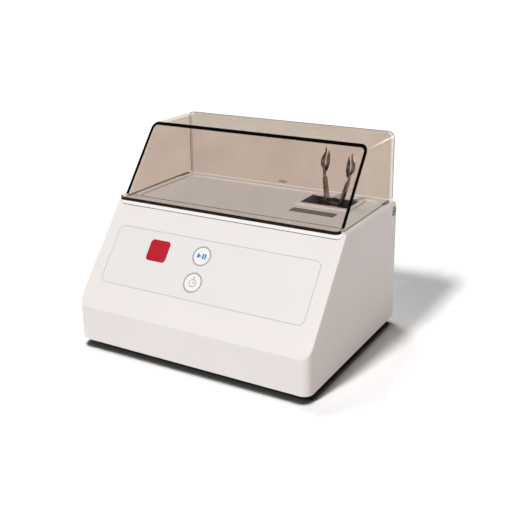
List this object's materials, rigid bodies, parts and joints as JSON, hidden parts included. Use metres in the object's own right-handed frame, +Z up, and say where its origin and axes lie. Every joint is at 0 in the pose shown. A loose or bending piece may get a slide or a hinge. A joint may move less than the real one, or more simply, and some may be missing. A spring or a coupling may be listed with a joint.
{
  "type": "dental amalgamator",
  "caption": "Wedge-fronted bench mixer that shakes a dental capsule in a motor-driven two-armed fork under a hinged smoked hood.",
  "frame": {"origin": "centre of the footprint, on the table under the feet", "axes": "+X to the user's right, +Y to the back, +Z up"},
  "size_m": [0.24, 0.1874, 0.1925],
  "materials": {
    "housing_white": "fine-textured white moulding",
    "deck_white": "smooth white moulding",
    "smoked_acrylic": "clear, smoked brown",
    "overlay_film": "matt printed film",
    "red_lens": "dark red tint",
    "key_film": "matt, printed ring",
    "dark_strip": "matt dark grey",
    "well_grey": "matt dark grey moulding",
    "black_rubber": "matt",
    "black_plastic": "satin",
    "nylon_white": "natural nylon",
    "stainless": "polished stainless",
    "steel": "zinc plated",
    "lamination": "dull laminations",
    "aluminium_cast": "as cast",
    "brass": "plain",
    "carbon": "pressed carbon",
    "board_green": "solder mask",
    "magnet_grey": "coated magnet"
  },
  "bodies": {
    "chassis": {"base_plate": "steel", "board_screws": "steel", "brushes": "carbon", "capacitors": "black_plastic", "case_screws": "steel", "control_board": "board_green", "control_overlay": "overlay_film", "deck": "deck_white", "display_module": "black_plastic", "display_window": "red_lens", "field_stack": "lamination", "fork_well": "well_grey", "front_bell": "aluminium_cast", "heat_sink": "aluminium_cast", "hinge_bushes": "nylon_white", "hinge_cups": "black_plastic", "hinge_screws": "steel", "housing": "housing_white", "inlet_pins": "brass", "interlock_switch": "black_plastic", "label_strip": "dark_strip", "mains_fuse": "brass", "motor_bracket": "steel", "motor_can": "steel", "motor_screws": "steel", "power_board": "board_green", "power_inlet": "black_plastic", "power_transformer": "lamination", "rear_bell": "aluminium_cast", "restraint_spring": "steel", "rubber_feet": "black_rubber", "rubber_mounts": "black_rubber", "shaft_bearings": "steel", "standoffs": "nylon_white", "switch_frame": "black_plastic", "tact_switches": "black_plastic"},
    "hood": {"hood_shell": "smoked_acrylic", "hood_pane": "smoked_acrylic", "hood_rear_pane": "smoked_acrylic", "interlock_magnet": "magnet_grey"},
    "rotor": {"motor_shaft": "steel", "armature": "lamination", "commutator": "brass", "skew_hub": "steel", "hub_grub_screw": "steel", "balance_weight": "brass", "bearing_inner_ring": "steel", "hub_washer": "steel", "shaft_nut": "steel"},
    "fork": {"bearing_outer_ring": "steel", "bearing_balls": "steel", "fork_yoke": "brass", "right_arm": "stainless", "left_arm": "stainless", "arm_rivets": "brass", "right_claw": "stainless", "left_claw": "stainless"},
    "start_key": {"start_key": "key_film"},
    "timer_key": {"timer_key": "key_film"},
    "power_rocker": {"rocker_switch": "black_plastic"}
  },
  "joints": [
    {"name": "hood_hinge", "type": "hinge", "parent": "chassis", "child": "hood", "pos_m": [0, 0.0845, 0.1175], "axis": [-1, 0, 0], "range_deg": [0, 95]},
    {"name": "motor_spin", "type": "hinge", "parent": "chassis", "child": "rotor", "pos_m": [0.0658, 0.0578, 0.0865], "axis": [1, 0, 0], "continuous": true},
    {"name": "fork_nutation", "type": "hinge", "parent": "rotor", "child": "fork", "pos_m": [0.0658, 0.0578, 0.0865], "axis": [0.9952, 0, -0.0976], "continuous": true, "deforming": ["restraint_spring"]},
    {"name": "start_key_press", "type": "slide", "parent": "chassis", "child": "start_key", "axis": [0, 0.7795, -0.6263], "range_m": [0, 0.0005], "stiffness_N_per_m": 1500},
    {"name": "timer_key_press", "type": "slide", "parent": "chassis", "child": "timer_key", "axis": [0, 0.7795, -0.6263], "range_m": [0, 0.0005], "stiffness_N_per_m": 1500},
    {"name": "power_rocker_tip", "type": "hinge", "parent": "chassis", "child": "power_rocker", "pos_m": [-0.06, 0.089, 0.038], "axis": [-1, 0, 0], "range_deg": [0, 16]}
  ],
  "couplings": [
    {"joint": "fork_nutation", "follows": "motor_spin", "ratio": -1}
  ]
}
